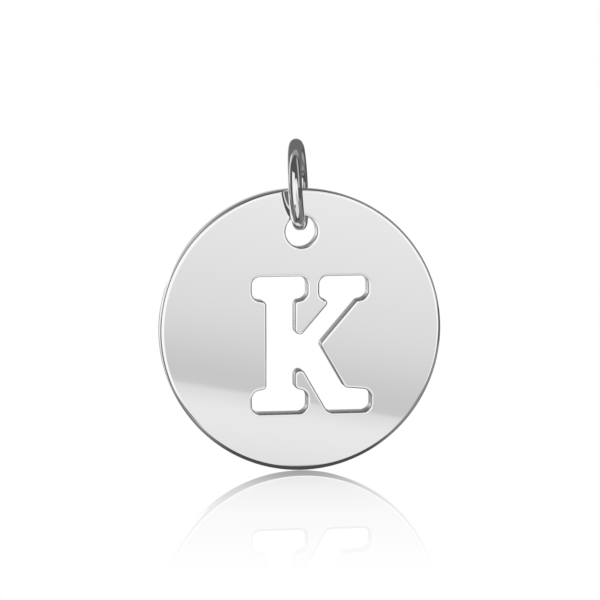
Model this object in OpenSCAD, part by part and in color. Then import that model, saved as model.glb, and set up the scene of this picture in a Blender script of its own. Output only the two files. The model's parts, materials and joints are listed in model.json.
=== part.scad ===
// Initial pendant: a flat polished silver disc with one capital letter pierced through it,
// hanging by a small hole from one closed round-wire jump ring.
// Millimetres. X to the right, Y to the back, Z up. The disc's front face looks along -Y.
// The origin is the inside top of the jump ring, where a chain carries the pendant.

/* [Disc] */
// Diameter of the disc
disc_d = 16; // [15:0.1:20]
// Thickness of the sheet
disc_t = 1.1; // [0.9:0.05:1.4]
// Rounding of the disc's outer edge, on both faces
rim_r = 0.25; // [0.15:0.05:0.4]

/* [Hole] */
// Diameter of the hole that the jump ring passes through
hole_d = 1.8; // [1.6:0.05:2.2]
// Distance from the disc's top edge down to the middle of the hole
hole_drop = 2.42; // [2.2:0.02:2.8]
// Rounding of the hole's edges, on both faces
hole_edge_r = 0.15; // [0.05:0.05:0.25]

/* [Letter] */
// Height of the letter
letter_h = 7.76; // [7.5:0.02:9]
// Width of the letter, from the slabs' left ends to the foot's right end
letter_w = 6.84; // [6.5:0.05:7.5]
// Distance of the letter's box from the middle of the disc, to the right
letter_x = 0.6; // [0:0.05:1]
// Distance of the letter's box from the middle of the disc, down
letter_drop = 0.84; // [0.7:0.02:1.5]
// Width of the upright stem
stem_w = 1.62; // [1.2:0.02:1.8]
// How far the slabs stand out to the left of the stem
slab_left = 0.83; // [0.6:0.01:1]
// How far the top slab stands out to the right of the stem
top_slab_right = 0.72; // [0.5:0.01:0.9]
// How far the bottom slab stands out to the right of the stem
bottom_slab_right = 0.72; // [0.6:0.01:1.1]
// Thickness of every slab at its end
slab_t = 1.25; // [1:0.01:1.4]
// How much thicker a slab is where it meets its stroke than at its end
slab_swell = 0.15; // [0:0.01:0.25]
// Height above the letter's foot at which the middle of the arm leaves the stem
arm_start = 3.12; // [2.8:0.02:3.4]
// Thickness of the arm
arm_w = 1.15; // [1:0.01:1.3]
// Gap between the top slab and the slab on the arm
slab_gap = 0.67; // [0.5:0.01:0.9]
// How far the arm's slab stays back from the foot's right end
arm_slab_back = 0.2; // [0:0.05:0.4]
// Fall of the leg below the horizontal, in degrees
leg_angle = 60; // [55:1:62]
// Thickness of the leg
leg_w = 1.55; // [1.3:0.01:1.7]
// Gap between the bottom slab and the foot
foot_gap = 1.17; // [0.7:0.01:1.4]
// Rounding of the strokes' ends
end_r = 0.48; // [0.3:0.01:0.6]
// Rounding where two strokes meet
nook_r = 0.28; // [0.15:0.01:0.35]

/* [Jump ring] */
// Inside diameter of the jump ring
ring_inner_d = 3.6; // [3.4:0.1:5]
// Diameter of the ring's wire
wire_d = 0.8; // [0.6:0.05:0.9]
// Turn of the ring about the vertical, its near side to the left, in degrees
ring_yaw = 13; // [0:1:20]
// Lean of the ring, its top to the left, in degrees
ring_lean = 3; // [0:1:8]
// Gap between the wire and the top of the hole, at the middle of the sheet
hang_gap = 0.1; // [0.08:0.01:0.2]

/* [Hidden] */
$fn = 96;
// How far a cutter runs past the face that it cuts
cut_past = 0.5;
// The most of a side that one corner's rounding may take
side_share = 0.49;
// Largest turn between two points of a corner's arc, in degrees
arc_step = 9;

// Places that follow from the sizes

disc_r = disc_d / 2;
hole_r = hole_d / 2;
wire_r = wire_d / 2;
ring_inner_r = ring_inner_d / 2;
// Direction from the ring's middle to its top
ring_up = [-sin(ring_lean) * cos(ring_yaw), sin(ring_lean) * sin(ring_yaw), cos(ring_lean)];
ring_c = -ring_inner_r * ring_up;
// Middle of the wire where it passes through the hole
strand_c = -(2 * ring_inner_r + wire_r) * ring_up;
hole_c = strand_c + [0, 0, wire_r + hang_gap - hole_r];
disc_c = hole_c - [0, 0, disc_r - hole_drop];

// The letter's lines, from the lower left corner of its box

stem_l = slab_left;
stem_r = slab_left + stem_w;
slab_under = letter_h - slab_t;
top_slab_end = stem_r + top_slab_right;
bottom_slab_end = stem_r + bottom_slab_right;
arm_slab_left = top_slab_end + slab_gap;
arm_slab_r = letter_w - arm_slab_back;
foot_left = bottom_slab_end + foot_gap;
under_slab = [0, slab_under - slab_swell];
over_foot = [0, slab_t + slab_swell];
// The arm runs from the stem to the middle of its slab
arm_angle = atan2(under_slab[1] - arm_start, (arm_slab_left + arm_slab_r) / 2 - stem_r);
arm_half = arm_w / 2 / cos(arm_angle);
arm_top = [stem_r, arm_start + arm_half];
arm_low = [stem_r, arm_start - arm_half];
leg_low = [foot_left, 0];
leg_top = [foot_left + leg_w / sin(leg_angle), 0];
// Where a line through p at angle a meets a line through q at angle b
function meet(p, a, q, b) =
    let (s = ((q[0] - p[0]) * sin(b) - (q[1] - p[1]) * cos(b)) / sin(b - a))
    [p[0] + s * cos(a), p[1] + s * sin(a)];
arm_nook_l = meet(arm_top, arm_angle, under_slab, 0);
arm_nook_r = meet(arm_low, arm_angle, under_slab, 0);
crotch = meet(arm_low, arm_angle, leg_top, -leg_angle);
foot_nook = meet(leg_top, -leg_angle, over_foot, 0);
leg_nook = meet(arm_low, arm_angle, leg_low, -leg_angle);

// The letter's outline, clockwise from its upper left corner: x, height, rounding
letter_corners = [
    [0, letter_h, end_r],
    [top_slab_end, letter_h, end_r],
    [top_slab_end, slab_under, end_r],
    [stem_r, under_slab[1], nook_r],
    [arm_top[0], arm_top[1], nook_r],
    [arm_nook_l[0], arm_nook_l[1], nook_r],
    [arm_slab_left, slab_under, end_r],
    [arm_slab_left, letter_h, end_r],
    [arm_slab_r, letter_h, end_r],
    [arm_slab_r, slab_under, end_r],
    [arm_nook_r[0], arm_nook_r[1], nook_r],
    [crotch[0], crotch[1], nook_r],
    [foot_nook[0], foot_nook[1], nook_r],
    [letter_w, slab_t, end_r],
    [letter_w, 0, end_r],
    [foot_left, 0, end_r],
    [leg_nook[0], leg_nook[1], nook_r],
    [arm_low[0], arm_low[1], nook_r],
    [stem_r, over_foot[1], nook_r],
    [bottom_slab_end, slab_t, end_r],
    [bottom_slab_end, 0, end_r],
    [0, 0, end_r],
    [0, slab_t, end_r],
    [stem_l, over_foot[1], nook_r],
    [stem_l, under_slab[1], nook_r],
    [0, slab_under, end_r]
];

// An outline with rounded corners

function spot(row) = [row[0], row[1]];
function unit(v) = v / norm(v);
// The points of one corner's arc, which touches the sides towards its two neighbours
function corner_arc(before, here, after, r) =
    let (
        to_before = unit(before - here),
        to_after = unit(after - here),
        half = acos(to_before * to_after) / 2,
        longest = side_share * min(norm(before - here), norm(after - here)),
        run = min(r / tan(half), longest),
        radius = run * tan(half),
        middle = here + radius / sin(half) * unit(to_before + to_after),
        start = here + run * to_before - middle,
        end = here + run * to_after - middle,
        first = atan2(start[1], start[0]),
        sweep = atan2(start[0] * end[1] - start[1] * end[0], start * end),
        steps = ceil(abs(sweep) / arc_step)
    )
    [
        for (k = [0 : steps])
            middle + radius * [cos(first + sweep * k / steps), sin(first + sweep * k / steps)]
    ];

module soft_outline(rows) {
    n = len(rows);
    polygon([
        for (i = [0 : n - 1])
            each corner_arc(spot(rows[(i + n - 1) % n]), spot(rows[i]), spot(rows[(i + 1) % n]), rows[i][2])
    ]);
}

// Half of the disc's section, from its middle out to the rounded rim
module disc_section() {
    core_r = disc_r - rim_r;
    wall_h = disc_t - 2 * rim_r;
    translate([0, -disc_t / 2]) square([core_r, disc_t]);
    translate([0, -wall_h / 2]) square([disc_r, wall_h]);
    for (side = [-1, 1]) translate([core_r, side * wall_h / 2]) circle(r = rim_r);
}

// What the drill and the rounding of its edges take away
module hole_section() {
    flare_h = hole_edge_r + cut_past;
    translate([0, -disc_t / 2 - cut_past]) square([hole_r, disc_t + 2 * cut_past]);
    for (side = [-1, 1]) {
        difference() {
            translate([hole_r, side > 0 ? disc_t / 2 - hole_edge_r : -disc_t / 2 - cut_past])
                square([hole_edge_r, flare_h]);
            translate([hole_r + hole_edge_r, side * (disc_t / 2 - hole_edge_r)])
                circle(r = hole_edge_r);
        }
    }
}

module letter_opening() {
    translate([letter_x - letter_w / 2, -letter_drop - letter_h / 2, -disc_t / 2 - cut_past])
        linear_extrude(disc_t + 2 * cut_past) soft_outline(letter_corners);
}

// The disc lies flat while it is cut, then stands up with its front to -Y
module disc() {
    color("silver") translate(disc_c) rotate([90, 0, 0]) {
        difference() {
            rotate_extrude() disc_section();
            translate([0, disc_r - hole_drop, 0]) rotate_extrude() hole_section();
            letter_opening();
        }
    }
}

// One closed ring of round wire, soldered shut
module jump_ring() {
    color("dimgray") translate(ring_c) rotate([0, -ring_lean, -ring_yaw]) rotate([0, 90, 0])
        rotate_extrude() translate([ring_inner_r + wire_r, 0]) circle(r = wire_r);
}

disc();
jump_ring();
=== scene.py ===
import json
import math

import bmesh
import bpy
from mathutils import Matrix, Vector


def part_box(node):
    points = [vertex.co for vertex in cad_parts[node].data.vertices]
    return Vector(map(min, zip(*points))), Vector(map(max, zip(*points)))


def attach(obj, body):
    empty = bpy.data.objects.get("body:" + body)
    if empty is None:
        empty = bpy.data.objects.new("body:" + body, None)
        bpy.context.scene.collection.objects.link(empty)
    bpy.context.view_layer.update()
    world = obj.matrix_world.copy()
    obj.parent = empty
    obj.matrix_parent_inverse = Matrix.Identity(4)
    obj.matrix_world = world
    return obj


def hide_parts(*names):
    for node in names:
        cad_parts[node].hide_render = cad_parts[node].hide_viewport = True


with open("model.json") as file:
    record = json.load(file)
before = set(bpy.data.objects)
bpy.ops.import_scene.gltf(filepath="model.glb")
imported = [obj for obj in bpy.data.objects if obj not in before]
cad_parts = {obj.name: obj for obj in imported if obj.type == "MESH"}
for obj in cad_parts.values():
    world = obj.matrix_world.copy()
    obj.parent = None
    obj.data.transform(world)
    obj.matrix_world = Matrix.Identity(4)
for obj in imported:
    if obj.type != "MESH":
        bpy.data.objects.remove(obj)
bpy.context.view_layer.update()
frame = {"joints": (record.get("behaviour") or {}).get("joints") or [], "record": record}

# Disc
# A round blank of sterling silver sheet with one capital letter and a small hole cut through it.
# Faces and rim are mirror polished and the polishing rolls over each edge, while the cut walls
# stay duller. It hangs by the hole on the jump ring.

# One millimetre in metres
MM = 0.001
disc_low, disc_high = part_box("disc")
disc_c = (disc_low + disc_high) / 2
disc_r = (disc_high.x - disc_low.x) / 2
disc_t = disc_high.y - disc_low.y
hole_c = Vector(frame["joints"][0]["pos_m"])
hole_r = 0.9 * MM
# The polishing takes each edge down in a wide shallow curve and then turns tightly into the wall
shallow_turn = math.radians(13)
rim_shallow_r, rim_tight_r = 0.55 * MM, 0.13 * MM
cut_shallow_r, cut_tight_r = 0.4 * MM, 0.09 * MM
# How finely the curves are divided
rim_points, hole_points, corner_points, edge_steps = 360, 128, 14, 8
# Points that lie closer than this are merged
weld = 0.0001 * MM

# The letter, in millimetres: the size of its box, and how far the box's middle lies to the right of
# the disc's middle and below it
letter_h, letter_w = 7.76, 6.84
letter_right, letter_down = 0.6, 0.84
# Its stem and slabs, its arm with a slab of its own, its leg, and the rounding of ends and of nooks
stem_w, slab_left, slab_t, slab_swell = 1.62, 0.83, 1.25, 0.15
top_slab_right, bottom_slab_right = 0.72, 0.72
arm_start, arm_w, slab_gap, arm_slab_back = 3.12, 1.15, 0.67, 0.2
leg_angle, leg_w, foot_gap = math.radians(60), 1.55, 1.17
end_r, nook_r = 0.48, 0.28

# Its lines, from the lower left corner of its box
stem_l, stem_r = slab_left, slab_left + stem_w
slab_under = letter_h - slab_t
under_slab, over_foot = slab_under - slab_swell, slab_t + slab_swell
top_slab_end, bottom_slab_end = stem_r + top_slab_right, stem_r + bottom_slab_right
arm_slab_left, arm_slab_r = top_slab_end + slab_gap, letter_w - arm_slab_back
foot_left = bottom_slab_end + foot_gap
arm_angle = math.atan2(under_slab - arm_start, (arm_slab_left + arm_slab_r) / 2 - stem_r)
arm_half = arm_w / 2 / math.cos(arm_angle)
arm_top, arm_low = (stem_r, arm_start + arm_half), (stem_r, arm_start - arm_half)
leg_low, leg_top = (foot_left, 0), (foot_left + leg_w / math.sin(leg_angle), 0)


def meet(p, a, q, b):
    """Where a line through p at angle a meets a line through q at angle b."""
    s = ((q[0] - p[0]) * math.sin(b) - (q[1] - p[1]) * math.cos(b)) / math.sin(b - a)
    return p[0] + s * math.cos(a), p[1] + s * math.sin(a)


# The letter's outline, clockwise from its upper left corner: x, height, rounding
letter_corners = [
    (0, letter_h, end_r),
    (top_slab_end, letter_h, end_r),
    (top_slab_end, slab_under, end_r),
    (stem_r, under_slab, nook_r),
    (*arm_top, nook_r),
    (*meet(arm_top, arm_angle, (0, under_slab), 0), nook_r),
    (arm_slab_left, slab_under, end_r),
    (arm_slab_left, letter_h, end_r),
    (arm_slab_r, letter_h, end_r),
    (arm_slab_r, slab_under, end_r),
    (*meet(arm_low, arm_angle, (0, under_slab), 0), nook_r),
    (*meet(arm_low, arm_angle, leg_top, -leg_angle), nook_r),
    (*meet(leg_top, -leg_angle, (0, over_foot), 0), nook_r),
    (letter_w, slab_t, end_r),
    (letter_w, 0, end_r),
    (foot_left, 0, end_r),
    (*meet(arm_low, arm_angle, leg_low, -leg_angle), nook_r),
    (*arm_low, nook_r),
    (stem_r, over_foot, nook_r),
    (bottom_slab_end, slab_t, end_r),
    (bottom_slab_end, 0, end_r),
    (0, 0, end_r),
    (0, slab_t, end_r),
    (stem_l, over_foot, nook_r),
    (stem_l, under_slab, nook_r),
    (0, slab_under, end_r),
]


def add(tree, kind, sockets=None, **settings):
    """One node of a tree: its settings, then its sockets, each linked or given a value."""
    made = tree.nodes.new(kind)
    for name, value in settings.items():
        setattr(made, name, value)
    for key, value in (sockets or {}).items():
        if isinstance(value, bpy.types.NodeSocket):
            tree.links.new(value, made.inputs[key])
        else:
            made.inputs[key].default_value = value
    return made


def new_tree(name, inputs):
    """A geometry tree with the named inputs, the sockets that give them, and its output node."""
    tree = bpy.data.node_groups.new(name, "GeometryNodeTree")
    tree.interface.new_socket("Geometry", in_out="OUTPUT", socket_type="NodeSocketGeometry")
    for label, kind in inputs.items():
        tree.interface.new_socket(label, in_out="INPUT", socket_type="NodeSocket" + kind)
    return tree, tree.nodes.new("NodeGroupInput").outputs, tree.nodes.new("NodeGroupOutput")


def grow(name, mesh, tree, values):
    """The piece that the tree makes of the mesh, as a plain mesh in an object at the origin."""
    maker = bpy.data.objects.new(name + "_maker", mesh)
    bpy.context.scene.collection.objects.link(maker)
    modifier = maker.modifiers.new("shape", "NODES")
    modifier.node_group = tree
    for item in tree.interface.items_tree:
        if item.item_type == "SOCKET" and item.in_out == "INPUT" and item.name in values:
            modifier[item.identifier] = values[item.name]
    grown = maker.evaluated_get(bpy.context.evaluated_depsgraph_get())
    plain = bpy.data.meshes.new_from_object(grown)
    maker.modifiers.remove(modifier)
    bpy.data.objects.remove(maker)
    bpy.data.meshes.remove(mesh)
    plain.name = name
    piece = bpy.data.objects.new(name, plain)
    bpy.context.scene.collection.objects.link(piece)
    return piece


def close_up(piece):
    """Welds the piece's seams, turns its faces outwards and shades it smooth."""
    shape = bmesh.new()
    shape.from_mesh(piece.data)
    bmesh.ops.remove_doubles(shape, verts=shape.verts, dist=weld)
    bmesh.ops.recalc_face_normals(shape, faces=shape.faces)
    for face in shape.faces:
        face.smooth = True
    shape.to_mesh(piece.data)
    shape.free()


def silver(name, colour, roughness, wall_colour, wall_roughness):
    """Polished silver with faint polishing marks; where the attribute "cut" is 1 it is a cut wall."""
    material = bpy.data.materials.new(name)
    material.use_nodes = True
    tree = material.node_tree
    tree.nodes.clear()
    place = add(tree, "ShaderNodeTexCoord").outputs["Object"]
    cut = add(tree, "ShaderNodeAttribute", attribute_name="cut").outputs["Fac"]
    # How often the marks come in a metre: the polish's clouds and hairlines, the walls' wear and cuts
    cloud_scale, hair_scale, wear_scale, teeth_scale = 260.0, 7000.0, 1800.0, 9000.0
    # How far the marks are drawn out, the hairlines' slant, and how deep both kinds are
    hair_stretch, teeth_stretch = (0.05, 1.0, 1.0), (1.0, 0.03, 1.0)
    hair_slant = math.radians(35)
    hair_bump, teeth_bump, bump_depth = 0.004, 0.025, 0.02 * MM
    # How much the polish changes, over the middle of the noise, and how much wear dulls the walls
    polish_change, noise_low, noise_high = 0.4, 0.3, 0.7
    worn_share = 0.8
    # Cloudy change of the polish over a few millimetres
    cloud = add(tree, "ShaderNodeTexNoise", {"Vector": place, "Scale": cloud_scale, "Detail": 3.0})
    polish = add(tree, "ShaderNodeMapRange", {
        "Value": cloud.outputs["Fac"], "From Min": noise_low, "From Max": noise_high,
        "To Min": roughness * (1 - polish_change), "To Max": roughness * (1 + polish_change)})
    # Striations of the cut, which run straight through the sheet, and wear that dulls its colour
    through = add(tree, "ShaderNodeMapping", {"Vector": place, "Scale": teeth_stretch})
    teeth = add(tree, "ShaderNodeTexNoise", {
        "Vector": through.outputs["Vector"], "Scale": teeth_scale, "Detail": 2.0})
    worn = add(tree, "ShaderNodeTexNoise", {"Vector": place, "Scale": wear_scale, "Detail": 4.0})
    worn_colour = [part * worn_share for part in wall_colour]
    wall_tone = add(tree, "ShaderNodeMix", {
        "Factor": worn.outputs["Fac"], 6: (*worn_colour, 1), 7: (*wall_colour, 1)}, data_type="RGBA")
    tone = add(tree, "ShaderNodeMix", {
        "Factor": cut, 6: (*colour, 1), 7: wall_tone.outputs[2]}, data_type="RGBA")
    rough = add(tree, "ShaderNodeMix", {
        "Factor": cut, 2: polish.outputs["Result"], 3: wall_roughness}, data_type="FLOAT")
    # Hairlines of the polishing mop, which ran at a slant, and the cut's striations on the walls
    swept = add(tree, "ShaderNodeMapping", {
        "Vector": place, "Rotation": (0.0, hair_slant, 0.0), "Scale": hair_stretch})
    hairs = add(tree, "ShaderNodeTexNoise", {
        "Vector": swept.outputs["Vector"], "Scale": hair_scale, "Detail": 4.0})
    height = add(tree, "ShaderNodeMix", {
        "Factor": cut, 2: hairs.outputs["Fac"], 3: teeth.outputs["Fac"]}, data_type="FLOAT")
    strength = add(tree, "ShaderNodeMapRange", {"Value": cut, "To Min": hair_bump, "To Max": teeth_bump})
    bump = add(tree, "ShaderNodeBump", {
        "Strength": strength.outputs["Result"], "Distance": bump_depth, "Height": height.outputs[0]})
    metal = add(tree, "ShaderNodeBsdfPrincipled", {
        "Metallic": 1.0, "Base Color": tone.outputs[2], "Roughness": rough.outputs[0],
        "Normal": bump.outputs["Normal"]})
    add(tree, "ShaderNodeOutputMaterial", {"Surface": metal.outputs["BSDF"]})
    return material


# The sheet: each outline carries strips that roll over the front edge, run through the sheet and
# roll over the back edge, and flat faces fill what lies between the outlines
sheet, given, out = new_tree("pierced_sheet", {
    "Outline": "Geometry", "Disc radius": "Float", "Thickness": "Float",
    "Rim shallow": "Float", "Rim tight": "Float", "Cut shallow": "Float", "Cut tight": "Float",
    "Shallow turn": "Float", "Hole radius": "Float", "Hole height": "Float",
    "Rim points": "Int", "Hole points": "Int", "Corner points": "Int", "Edge steps": "Int",
    "Middle": "Vector", "Finish": "Material"})


def maths(tree, operation, a, b=0.0, c=0.0):
    """One step of arithmetic."""
    return add(tree, "ShaderNodeMath", {0: a, 1: b, 2: c}, operation=operation).outputs[0]


def edge_profile(tree, shallow_r, tight_r, shallow, thickness, steps):
    """The section of an edge: x is 0 at the wall and negative into the metal, y crosses the sheet."""
    half = maths(tree, "MULTIPLY", thickness, 0.5)
    steep = maths(tree, "SUBTRACT", math.pi / 2, shallow)
    spare = maths(tree, "SUBTRACT", shallow_r, tight_r)
    # The two arcs' middles, so that they touch the face, each other and the wall
    tight_x = maths(tree, "MULTIPLY", tight_r, -1.0)
    inset = maths(tree, "MULTIPLY", spare, maths(tree, "SINE", shallow))
    shallow_x = maths(tree, "SUBTRACT", tight_x, inset)
    shallow_y = maths(tree, "SUBTRACT", half, shallow_r)
    tight_y = maths(tree, "MULTIPLY_ADD", spare, maths(tree, "COSINE", shallow), shallow_y)
    arcs = []
    for radius, start, sweep, x, y in (
            (tight_r, 0.0, steep, tight_x, tight_y), (shallow_r, steep, shallow, shallow_x, shallow_y)):
        arc = add(tree, "GeometryNodeCurveArc", {
            "Resolution": steps, "Radius": radius, "Start Angle": start, "Sweep Angle": sweep})
        spot = add(tree, "ShaderNodeCombineXYZ", {"X": x, "Y": y}).outputs[0]
        arcs.append(add(tree, "GeometryNodeTransform", {
            "Geometry": arc.outputs["Curve"], "Translation": spot}).outputs[0])
    for arc in arcs[:]:
        mirrored = add(tree, "GeometryNodeTransform", {"Geometry": arc, "Scale": (1.0, -1.0, 1.0)})
        arcs.append(mirrored.outputs[0])
    top = add(tree, "ShaderNodeCombineXYZ", {"Y": tight_y}).outputs[0]
    low = add(tree, "ShaderNodeCombineXYZ", {"Y": maths(tree, "MULTIPLY", tight_y, -1.0)}).outputs[0]
    wall = add(tree, "GeometryNodeCurvePrimitiveLine", {"Start": top, "End": low}).outputs["Curve"]
    return arcs, wall


def join(tree, *parts):
    """The parts as one geometry."""
    joined = tree.nodes.new("GeometryNodeJoinGeometry")
    for part in parts:
        tree.links.new(part, joined.inputs[0])
    return joined.outputs[0]


rounding = add(sheet, "GeometryNodeInputNamedAttribute", {"Name": "rounding"}).outputs["Attribute"]
straight = add(sheet, "GeometryNodeMeshToCurve", {"Mesh": given["Outline"]}).outputs["Curve"]
letter_line = add(sheet, "GeometryNodeFilletCurve", {
    "Curve": straight, "Count": given["Corner points"], "Radius": rounding, "Limit Radius": True},
    mode="POLY").outputs["Curve"]
rim_line = add(sheet, "GeometryNodeCurvePrimitiveCircle", {
    "Resolution": given["Rim points"], "Radius": given["Disc radius"]}).outputs["Curve"]
hole_ring = add(sheet, "GeometryNodeCurvePrimitiveCircle", {
    "Resolution": given["Hole points"], "Radius": given["Hole radius"]}).outputs["Curve"]
hole_spot = add(sheet, "ShaderNodeCombineXYZ", {"Y": given["Hole height"]}).outputs[0]
hole_place = add(sheet, "GeometryNodeTransform", {"Geometry": hole_ring, "Translation": hole_spot})
hole_line = add(sheet, "GeometryNodeReverseCurve", {"Curve": hole_place.outputs[0]}).outputs[0]
cut_line = join(sheet, letter_line, hole_line)

strips = []
for line, shallow_r, tight_r, is_cut in (
        (rim_line, "Rim shallow", "Rim tight", False), (cut_line, "Cut shallow", "Cut tight", True)):
    arcs, wall = edge_profile(
        sheet, given[shallow_r], given[tight_r], given["Shallow turn"], given["Thickness"],
        given["Edge steps"])
    for part in (*arcs, wall):
        strip = add(sheet, "GeometryNodeCurveToMesh", {"Curve": line, "Profile Curve": part}).outputs[0]
        strips.append(add(sheet, "GeometryNodeStoreNamedAttribute", {
            "Geometry": strip, "Name": "cut", "Value": 1.0 if is_cut and part is wall else 0.0},
            data_type="FLOAT", domain="FACE").outputs[0])
edges = add(sheet, "GeometryNodeMergeByDistance", {
    "Geometry": join(sheet, *strips), "Distance": weld}).outputs[0]

# The loops at the top of the strips bound the front face, and a copy of it closes the back
lone = add(sheet, "GeometryNodeInputMeshEdgeNeighbors").outputs[0]
is_lone = add(sheet, "FunctionNodeCompare", {2: lone, 3: 1}, data_type="INT", operation="EQUAL").outputs[0]
spot = add(sheet, "GeometryNodeInputPosition").outputs[0]
height = add(sheet, "ShaderNodeSeparateXYZ", {0: spot}).outputs["Z"]
is_up = add(sheet, "FunctionNodeCompare", {
    0: height, 1: 0.0}, data_type="FLOAT", operation="GREATER_THAN").outputs[0]
bounds_face = add(sheet, "FunctionNodeBooleanMath", {0: is_lone, 1: is_up}, operation="AND").outputs[0]
loops = add(sheet, "GeometryNodeMeshToCurve", {"Mesh": edges, "Selection": bounds_face}).outputs["Curve"]
face = add(sheet, "GeometryNodeFillCurve", {"Curve": loops}, mode="TRIANGLES").outputs["Mesh"]
faces = []
for side in (0.5, -0.5):
    lift = maths(sheet, "MULTIPLY", given["Thickness"], side)
    up = add(sheet, "ShaderNodeCombineXYZ", {"Z": lift}).outputs[0]
    faces.append(add(sheet, "GeometryNodeTransform", {"Geometry": face, "Translation": up}).outputs[0])
solid = add(sheet, "GeometryNodeMergeByDistance", {
    "Geometry": join(sheet, edges, *faces), "Distance": weld}).outputs[0]
# The sheet lies flat while it is cut, then stands up with its front to -Y
upright = add(sheet, "FunctionNodeEulerToRotation", {"Euler": (math.pi / 2, 0.0, 0.0)}).outputs[0]
stood = add(sheet, "GeometryNodeTransform", {
    "Geometry": solid, "Rotation": upright, "Translation": given["Middle"]}).outputs[0]
real = add(sheet, "GeometryNodeRealizeInstances", {"Geometry": stood}).outputs[0]
coated = add(sheet, "GeometryNodeSetMaterial", {"Geometry": real, "Material": given["Finish"]}).outputs[0]
sheet.links.new(coated, out.inputs[0])

outline = bpy.data.meshes.new("letter_outline")
corner_left = letter_right - letter_w / 2
corner_low = -letter_down - letter_h / 2
outline.from_pydata(
    [((corner_left + x) * MM, (corner_low + y) * MM, 0) for x, y, r in letter_corners],
    [(i, (i + 1) % len(letter_corners)) for i in range(len(letter_corners))], [])
outline.attributes.new("rounding", "FLOAT", "POINT").data.foreach_set(
    "value", [r * MM for x, y, r in letter_corners])

disc_silver = silver(
    "mirror_silver", colour=(0.95, 0.95, 0.955), roughness=0.03,
    wall_colour=(0.84, 0.84, 0.845), wall_roughness=0.25)
disc = grow("silver_disc", outline, sheet, {
    "Disc radius": disc_r, "Thickness": disc_t, "Rim shallow": rim_shallow_r, "Rim tight": rim_tight_r,
    "Cut shallow": cut_shallow_r, "Cut tight": cut_tight_r, "Shallow turn": shallow_turn,
    "Hole radius": hole_r, "Hole height": hole_c.z - disc_c.z, "Rim points": rim_points,
    "Hole points": hole_points, "Corner points": corner_points, "Edge steps": edge_steps,
    "Middle": disc_c, "Finish": disc_silver})
close_up(disc)

# A mirror face shows every fault of its shading, so its flat faces get their exact normals
normals = []
for vertex in disc.data.vertices:
    from_middle = vertex.co.y - disc_c.y
    is_flat = abs(abs(from_middle) - disc_t / 2) < weld
    normals.append((0, math.copysign(1, from_middle), 0) if is_flat else vertex.normal)
disc.data.normals_split_custom_set_from_vertices(normals)

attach(disc, "pendant")
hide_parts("disc")

# Jump ring
# One ring of round silver wire, wound, closed through the disc's hole and soldered shut.
# The wire is bright drawn, a little less bright than the disc. A chain carries it at its top.

wire_r = 0.4 * MM
ring_low, ring_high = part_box("jump_ring")
ring_c = (ring_low + ring_high) / 2
ring_r = (ring_high.z - ring_low.z) / 2 - wire_r
ring_axis = Vector(frame["record"]["mounts"][0]["axis"]).normalized()
ring_turn = ring_axis.to_track_quat("Z", "Y").to_euler()
# Points round the ring and round the wire
ring_points, wire_points = 160, 48

loop, given, out = new_tree("round_wire_ring", {
    "Ring radius": "Float", "Wire radius": "Float", "Ring points": "Int", "Wire points": "Int",
    "Middle": "Vector", "Turn": "Rotation", "Finish": "Material"})
path = add(loop, "GeometryNodeCurvePrimitiveCircle", {
    "Resolution": given["Ring points"], "Radius": given["Ring radius"]}).outputs["Curve"]
wire = add(loop, "GeometryNodeCurvePrimitiveCircle", {
    "Resolution": given["Wire points"], "Radius": given["Wire radius"]}).outputs["Curve"]
torus = add(loop, "GeometryNodeCurveToMesh", {"Curve": path, "Profile Curve": wire}).outputs[0]
hung = add(loop, "GeometryNodeTransform", {
    "Geometry": torus, "Rotation": given["Turn"], "Translation": given["Middle"]}).outputs[0]
real = add(loop, "GeometryNodeRealizeInstances", {"Geometry": hung}).outputs[0]
coated = add(loop, "GeometryNodeSetMaterial", {"Geometry": real, "Material": given["Finish"]}).outputs[0]
loop.links.new(coated, out.inputs[0])

wire_colour, wire_roughness = (0.88, 0.88, 0.885), 0.05
ring_silver = silver("drawn_wire_silver", wire_colour, wire_roughness, wire_colour, wire_roughness)
ring = grow("wire_ring", bpy.data.meshes.new("ring_seed"), loop, {
    "Ring radius": ring_r, "Wire radius": wire_r, "Ring points": ring_points, "Wire points": wire_points,
    "Middle": ring_c, "Turn": ring_turn, "Finish": ring_silver})
close_up(ring)

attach(ring, "ring")
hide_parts("jump_ring")

# Camera
# It looks at the disc's face from a little to the left and a little above, from about 150 mm away,
# through a long lens whose view is about twice as wide as the disc.

camera_azimuth, camera_elevation = math.radians(-9), math.radians(6.5)
camera_distance = 150 * MM
# Width that the view takes in at that distance
view_width = 33.75 * MM
# The point that the camera looks at, a little left of the middle of the disc's front face and above it
aim_left, aim_up = 0.09 * MM, 1.715 * MM
aim = Vector((disc_c.x - aim_left, disc_low.y, disc_c.z + aim_up))
to_camera = Vector((
    math.sin(camera_azimuth) * math.cos(camera_elevation),
    -math.cos(camera_azimuth) * math.cos(camera_elevation),
    math.sin(camera_elevation)))
camera = bpy.data.objects.new("camera", bpy.data.cameras.new("camera"))
bpy.context.scene.collection.objects.link(camera)
camera.location = aim + camera_distance * to_camera
camera.rotation_mode = "QUATERNION"
camera.rotation_quaternion = to_camera.to_track_quat("Z", "Y")
camera.data.lens = camera.data.sensor_width * camera_distance / view_width
camera.data.clip_start, camera.data.clip_end = 10 * MM, 3000 * MM
bpy.context.scene.camera = camera

# Floor
# A glossy white board just under the disc. The camera sees it white, with a fading mirror image.
# The metal sees painted light and shade glowing on it in grey tones: in front a sweep as wide as the disc's
# own mirror image, which the face shows as a painted reflection, round that painted light and dark fields,
# a strip that runs back behind the disc, and a painted shadow at its foot.

floor_gap = 0.085 * MM
floor_z = disc_low.z - floor_gap
floor_half = 600 * MM
mirror_reach = 27 * MM
# The mirror image's strength, by the distance as a share of its reach
mirror_stops = [(0.0, 0.68), (0.06, 0.61), (0.21, 0.37), (0.45, 0.19), (0.72, 0.095), (1.0, 0.0)]
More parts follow.
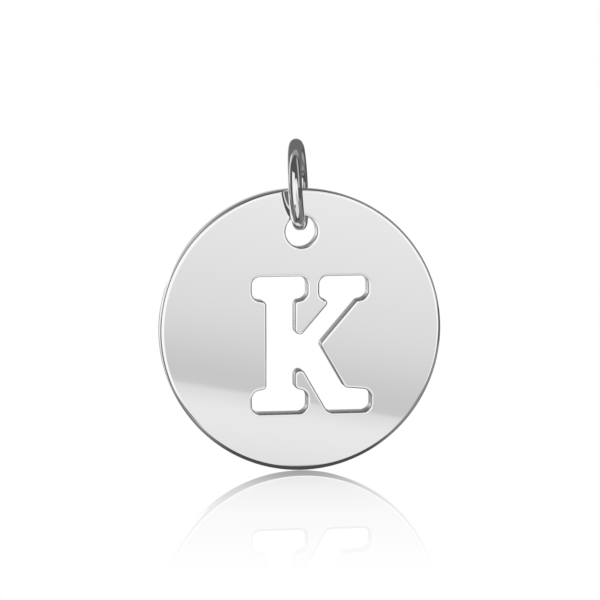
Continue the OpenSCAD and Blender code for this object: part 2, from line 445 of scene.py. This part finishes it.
# How high above the board and how far in front of the disc the camera stands, and how far the disc's
# middle lies to the right of it, as a share of that distance
camera_rise = camera.location.z - floor_z
camera_back = disc_low.y - camera.location.y
sweep_turn = (disc_c.x - camera.location.x) / camera_back
# How much the sweep's tones climb to the left across the disc's face
sweep_slant = 0.186
# The sweep's tones, a painted reflection that the face shows, by their height on the face as a share of its
# diameter
sweep_stops = [
    (0.0, 0.77), (0.1, 0.845), (0.18, 0.85), (0.21, 0.805), (0.24, 0.75), (0.249, 0.71), (0.256, 0.59),
    (0.32, 0.592), (0.43, 0.685), (0.56, 0.752), (0.75, 0.79), (1.0, 0.86)]
# The fields' tones, painted light and dark for the metal, by the angle round the disc in degrees: 0 is
# straight ahead, and right is positive.
# From one angle to the next the tone changes evenly. The three lists run outwards from the disc.
left_stops = [
    (-180, 1.0), (-136, 1.0), (-128, 0.1), (-115, 0.1), (-111, 0.6), (-95, 0.6), (-91, 0.09), (-54, 0.09),
    (-50, 1.0)]
behind_stops = [(170, 1.0), (180, 1.0)]
field_stops = [
    (*left_stops, (6, 1.0), (10, 0.26), (85, 0.26), (105, 0.38), (164, 0.38), *behind_stops),
    (*left_stops, (33, 1.0), (37, 0.26), (85, 0.26), (105, 0.38), (164, 0.38), *behind_stops),
    (*left_stops, (33, 1.0), (37, 0.09), (120, 0.1), (164, 0.1), *behind_stops)]
# Inside the first list is a near field. Each field's inner border is soft between two distances
near_end = 15 * MM
field_borders = [(near_end, 18 * MM), (25 * MM, 29 * MM), (38 * MM, 48 * MM)]
# The near field's tones, painted shade close to the disc with a band of painted light further out, by the
# distance as a share of its depth
near_stops = [
    (0.0, 0.3), (0.3, 0.4), (0.36, 0.1), (0.5, 0.1), (0.56, 0.65), (0.8, 0.65), (0.86, 0.1), (1.0, 0.1)]
# Beyond these distances to the left and right of the disc's middle it has one tone
side_tone, side_start, side_full = 0.3, 5 * MM, 9 * MM
# The sweep's soft border, beside the width that the disc has at that height
sweep_edge, sweep_out = 0.3 * MM, 1.5 * MM
# The strip behind the disc runs straight away from the camera: its left and right border, how soft
# they are, its length, and its tones by the distance as a share of its length, darkest close to the disc as
# painted shade
back_left, back_right, back_border = -5 * MM, 9.5 * MM, 2 * MM
back_length = 120 * MM
back_stops = [(0.0, 0.07), (0.06, 0.08), (0.13, 0.25), (0.22, 0.38), (0.75, 0.37), (0.95, 0.55), (1.0, 0.6)]
# The shade at the foot: its tones in the middle and to the sides, between which distances they
# change, its soft border, and how it widens with the square of the distance to the side, up to a most
foot_tone, foot_side_tone = 0.07, 0.2
foot_side_start, foot_side_full = 4 * MM, 7 * MM
foot_edge, foot_out = 1.6 * MM, 2.3 * MM
foot_widening, foot_widest = 190.0, 5 * MM

board = bpy.data.meshes.new("floor")
board.from_pydata(
    [(x * floor_half, y * floor_half, floor_z) for x, y in ((-1, -1), (1, -1), (1, 1), (-1, 1))],
    [], [(0, 1, 2, 3)])
floor = bpy.data.objects.new("floor", board)
bpy.context.scene.collection.objects.link(floor)


def grey(tone):
    """A colour with the tone in all its parts."""
    return tone, tone, tone, 1


def tones(tree, value, stops, interpolation="LINEAR"):
    """A grey that follows the value through the stops, each a value from 0 to 1 and a tone."""
    ramp = add(tree, "ShaderNodeValToRGB", {"Fac": value})
    ramp.color_ramp.interpolation = interpolation
    marks = ramp.color_ramp.elements
    marks.remove(marks[1])
    marks[0].position = stops[0][0]
    marks[0].color = grey(stops[0][1])
    for at, tone in stops[1:]:
        marks.new(at).color = grey(tone)
    return ramp.outputs["Color"]


def soft_step(tree, value, start, end):
    """A smooth step from 0 at the start to 1 at the end."""
    return add(tree, "ShaderNodeMapRange", {
        "Value": value, "From Min": start, "From Max": end}, interpolation_type="SMOOTHSTEP").outputs[0]


def blend(tree, share, first, second):
    """The first tone where the share is 0 and the second where it is 1."""
    return add(tree, "ShaderNodeMix", {"Factor": share, 6: first, 7: second}, data_type="RGBA").outputs[2]


white_board = bpy.data.materials.new("white_board")
white_board.use_nodes = True
tree = white_board.node_tree
tree.nodes.clear()
split = add(tree, "ShaderNodeSeparateXYZ", {0: add(tree, "ShaderNodeTexCoord").outputs["Object"]}).outputs
across = maths(tree, "SUBTRACT", split["X"], disc_c.x)
ahead = maths(tree, "SUBTRACT", disc_low.y, split["Y"])
# Where on the disc's face this spot of the board appears mirrored: how high, and how far to the side
reach = maths(tree, "MAXIMUM", ahead, 0.0)
spread = maths(tree, "ADD", reach, camera_back)
shown_height = maths(tree, "MULTIPLY", maths(tree, "DIVIDE", reach, spread), camera_rise)
turned = maths(tree, "SUBTRACT", across, maths(tree, "MULTIPLY", reach, sweep_turn))
shown_side = maths(tree, "MULTIPLY", maths(tree, "DIVIDE", turned, spread), camera_back)
climb = maths(tree, "MULTIPLY_ADD", shown_side, sweep_slant, shown_height)
sweep = tones(tree, maths(tree, "DIVIDE", climb, 2 * disc_r), sweep_stops, "B_SPLINE")
# The fields round it
out_to = add(tree, "ShaderNodeCombineXYZ", {"X": across, "Y": ahead}).outputs[0]
away = add(tree, "ShaderNodeVectorMath", {0: out_to}, operation="LENGTH").outputs["Value"]
turn = maths(tree, "MULTIPLY_ADD", maths(tree, "ARCTAN2", across, ahead), 0.5 / math.pi, 0.5)
near = tones(tree, maths(tree, "DIVIDE", away, near_end), near_stops)
to_side = soft_step(tree, maths(tree, "ABSOLUTE", across), side_start, side_full)
fields = blend(tree, to_side, near, grey(side_tone))
for stops, (start, end) in zip(field_stops, field_borders):
    field = tones(tree, turn, [(degrees / 360 + 0.5, tone) for degrees, tone in stops])
    fields = blend(tree, soft_step(tree, away, start, end), fields, field)
# The sweep is only as wide as the disc is at the height where it shows
rest_of_height = maths(tree, "SUBTRACT", 2 * disc_r, shown_height)
squared = maths(tree, "MAXIMUM", maths(tree, "MULTIPLY", shown_height, rest_of_height), 0.0)
half_chord = maths(tree, "SQRT", squared)
side_out = maths(tree, "SUBTRACT", maths(tree, "ABSOLUTE", shown_side), half_chord)
off_sweep = soft_step(tree, side_out, sweep_edge, sweep_out)
is_behind = maths(tree, "LESS_THAN", ahead, 0.0)
lit = blend(tree, maths(tree, "MAXIMUM", off_sweep, is_behind), sweep, fields)
# The strip behind
back_share = maths(tree, "DIVIDE", maths(tree, "MULTIPLY", ahead, -1.0), back_length)
back = tones(tree, back_share, back_stops)
back_side = maths(tree, "MULTIPLY_ADD", ahead, -sweep_turn, across)
half_border = back_border / 2
on_back = maths(
    tree, "SUBTRACT", soft_step(tree, back_side, back_left - half_border, back_left + half_border),
    soft_step(tree, back_side, back_right - half_border, back_right + half_border))
lit = blend(tree, maths(tree, "MULTIPLY", is_behind, on_back), lit, back)
# The shade at the foot
beside = maths(tree, "ABSOLUTE", shown_side)
foot_side = maths(tree, "MINIMUM", beside, foot_widest)
shade = blend(
    tree, soft_step(tree, beside, foot_side_start, foot_side_full), grey(foot_tone), grey(foot_side_tone))
foot_curve = maths(tree, "MULTIPLY", maths(tree, "MULTIPLY", foot_side, foot_side), foot_widening)
from_foot = maths(tree, "SUBTRACT", maths(tree, "ABSOLUTE", ahead), foot_curve)
shaded = blend(tree, soft_step(tree, from_foot, foot_edge, foot_out), shade, lit)
# The painted light and shade glow for the metal's rays; no lamp lights these tones
painted_light_seen_by_metal = add(tree, "ShaderNodeEmission", {"Color": shaded, "Strength": 1.0}).outputs[0]

fade = tones(tree, maths(tree, "DIVIDE", away, mirror_reach), mirror_stops)
white = add(tree, "ShaderNodeEmission", {"Color": grey(1.0), "Strength": 1.0}).outputs[0]
mirror = add(tree, "ShaderNodeBsdfGlossy", {"Color": grey(1.0), "Roughness": 0.0}).outputs[0]
seen_by_camera = add(tree, "ShaderNodeMixShader", {0: fade, 1: white, 2: mirror}).outputs[0]
is_camera = add(tree, "ShaderNodeLightPath").outputs["Is Camera Ray"]
seen = add(tree, "ShaderNodeMixShader", {0: is_camera, 1: painted_light_seen_by_metal, 2: seen_by_camera}).outputs[0]
add(tree, "ShaderNodeOutputMaterial", {"Surface": seen})
floor.data.materials.append(white_board)

# Studio
# The camera sees a white background. The metal sees soft lights in a dark room: a broad light to the
# left of the camera with a grey card in it, a round light opposite the face, a tall light on each
# side, a strip light overhead, and behind the disc a low white wall with a grey strip above it.

# The room's tones in front and behind, and how far to the back, as a sine, the change runs
front_tone, back_tone, back_full = 0.09, 0.16, 0.3
# Angles are in degrees. Those round the disc have 0 straight ahead, and right is positive
side_border = 4
# Tall lights: from, to, tone. Their soft upper border lies between these heights, as sines
tall_lights = [(-112, -92, 0.85), (46, 68, 0.55)]
tall_full, tall_end = 0.8, 0.95
# The broad light: from, to, how high it reaches, and half of its upper border
broad_left, broad_right, broad_top, broad_border = -52, -10, 33, 2
# The round light: how far to the right and down it lies, how far it spreads, and half of its border
round_turn, round_drop = 9, 6.5
round_spread, round_border = 26, 1.5
# The strip light overhead: where it starts and ends towards the back, its border, and between which
# heights it comes up, all as sines, and its tone
overhead_near, overhead_far, overhead_border = -0.12, 0.2, 0.08
overhead_start, overhead_full = 0.6, 0.75
overhead_tone = 0.33
# The wall, by the angle from straight behind, and the strip on it: its heights and borders, as sines,
# and its tone
wall_left, wall_right = -50, 17
strip_low, strip_high, low_border, strip_border = 0.04, 0.185, 0.01, 0.018
strip_tone = 0.57
# The grey card: where it is, between which angles its round border lies, and its tone
card_direction = Vector((0.155, -0.98, 0.2)).normalized()
card_full, card_end = 4, 6.5
card_tone = 0.74

world = bpy.data.worlds.new("studio")
world.use_nodes = True
bpy.context.scene.world = world
tree = world.node_tree
tree.nodes.clear()
direction = add(tree, "ShaderNodeTexCoord").outputs["Generated"]
rise = add(tree, "ShaderNodeSeparateXYZ", {0: direction}).outputs
height = maths(tree, "MAXIMUM", rise["Z"], 0.0)
turn = maths(tree, "ARCTAN2", rise["X"], maths(tree, "MULTIPLY", rise["Y"], -1.0))


def within(aimed, full, end):
    """1 round a direction and 0 away from it, with a soft border between two angles in degrees."""
    share = add(tree, "ShaderNodeVectorMath", {0: direction, 1: aimed}, operation="DOT_PRODUCT")
    return soft_step(
        tree, share.outputs["Value"], math.cos(math.radians(end)), math.cos(math.radians(full)))


def between(value, low, high, border):
    """1 between the low and the high value and 0 outside, over a soft border."""
    rising = soft_step(tree, value, low - border / 2, low + border / 2)
    falling = soft_step(tree, value, high - border / 2, high + border / 2)
    return maths(tree, "SUBTRACT", rising, falling)


def sector(angle, left, right):
    """1 between two angles given in degrees and 0 outside, over a soft border."""
    return between(angle, math.radians(left), math.radians(right), math.radians(side_border))


def below(start, end):
    """1 below a height and 0 above, with a soft border from the start to the end."""
    return maths(tree, "SUBTRACT", 1.0, soft_step(tree, height, start, end))


def light_up(room, share, tone):
    """The room with a tone laid over it where the share is 1."""
    return blend(tree, share, room, grey(tone))


room = blend(tree, soft_step(tree, rise["Y"], 0.0, back_full), grey(front_tone), grey(back_tone))
overhead = maths(
    tree, "MULTIPLY", between(rise["Y"], overhead_near, overhead_far, overhead_border),
    soft_step(tree, height, overhead_start, overhead_full))
room = light_up(room, overhead, overhead_tone)
for left, right, tone in tall_lights:
    tall = maths(tree, "MULTIPLY", sector(turn, left, right), below(tall_full, tall_end))
    room = light_up(room, tall, tone)
below_top = below(
    math.sin(math.radians(broad_top - broad_border)), math.sin(math.radians(broad_top + broad_border)))
broad = maths(tree, "MULTIPLY", sector(turn, broad_left, broad_right), below_top)
room = light_up(room, broad, 1.0)
round_direction = Vector((
    math.sin(math.radians(round_turn)), -math.cos(math.radians(round_turn)),
    -math.sin(math.radians(round_drop)))).normalized()
opposite = within(round_direction, round_spread - round_border, round_spread + round_border)
room = light_up(room, opposite, 1.0)
on_wall = sector(maths(tree, "ARCTAN2", rise["X"], rise["Y"]), wall_left, wall_right)
low_wall = maths(tree, "MULTIPLY", on_wall, below(strip_low - low_border, strip_low + low_border))
room = light_up(room, low_wall, 1.0)
strip = maths(tree, "MULTIPLY", on_wall, between(height, strip_low, strip_high, strip_border))
room = light_up(room, strip, strip_tone)
room = light_up(room, within(card_direction, card_full, card_end), card_tone)
lights = add(tree, "ShaderNodeBackground", {"Color": room, "Strength": 1.0}).outputs[0]
backdrop = add(tree, "ShaderNodeBackground", {"Color": grey(1.0), "Strength": 1.0}).outputs[0]
# The camera sees it white, straight on and in the board's sharp mirror image
light_path = add(tree, "ShaderNodeLightPath").outputs
is_plain = maths(tree, "MAXIMUM", light_path["Is Camera Ray"], light_path["Is Singular Ray"])
seen = add(tree, "ShaderNodeMixShader", {0: is_plain, 1: lights, 2: backdrop}).outputs[0]
add(tree, "ShaderNodeOutputWorld", {"Surface": seen})
# White stays plain white
bpy.context.scene.view_settings.view_transform = "Standard"
